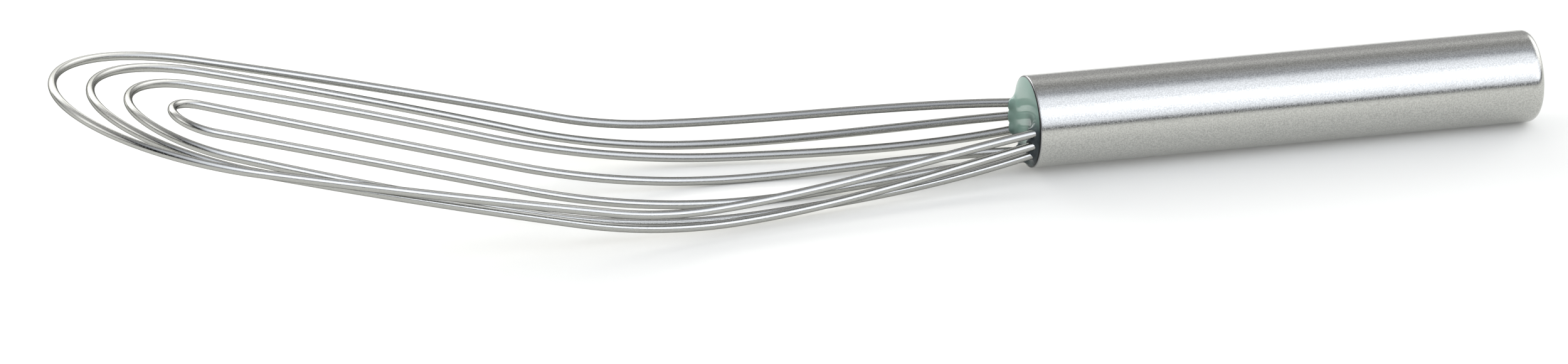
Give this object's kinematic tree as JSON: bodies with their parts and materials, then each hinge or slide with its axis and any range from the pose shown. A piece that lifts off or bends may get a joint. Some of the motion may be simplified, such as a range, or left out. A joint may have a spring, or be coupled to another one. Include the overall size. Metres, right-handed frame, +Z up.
{
  "type": "flat whisk",
  "caption": "Flat whisk: nested round wire loops fanned out nearly flat, bent up towards the tip, set with resin in a straight steel tube handle",
  "frame": {"origin": "Middle of the overall box seen from above, on the surface that the whisk lies on", "axes": "+X from the wire head towards the handle's butt, along the handle; +Y across the head; +Z up, away from the surface"},
  "size_m": [0.3126, 0.0568, 0.0371],
  "materials": {
    "satin_steel": "satin",
    "polished_steel": "polished",
    "grey_green_resin": "clear gloss, slightly tinted",
    "dark_rubber": "matte"
  },
  "bodies": {
    "root": {"handle_tube": "satin_steel", "end_plug": "satin_steel", "throat_seal": "grey_green_resin", "resin_dam": "dark_rubber", "wire_loop_outer": "polished_steel", "wire_loop_second": "polished_steel", "wire_loop_third": "polished_steel", "wire_loop_inner": "polished_steel"}
  },
  "joints": []
}
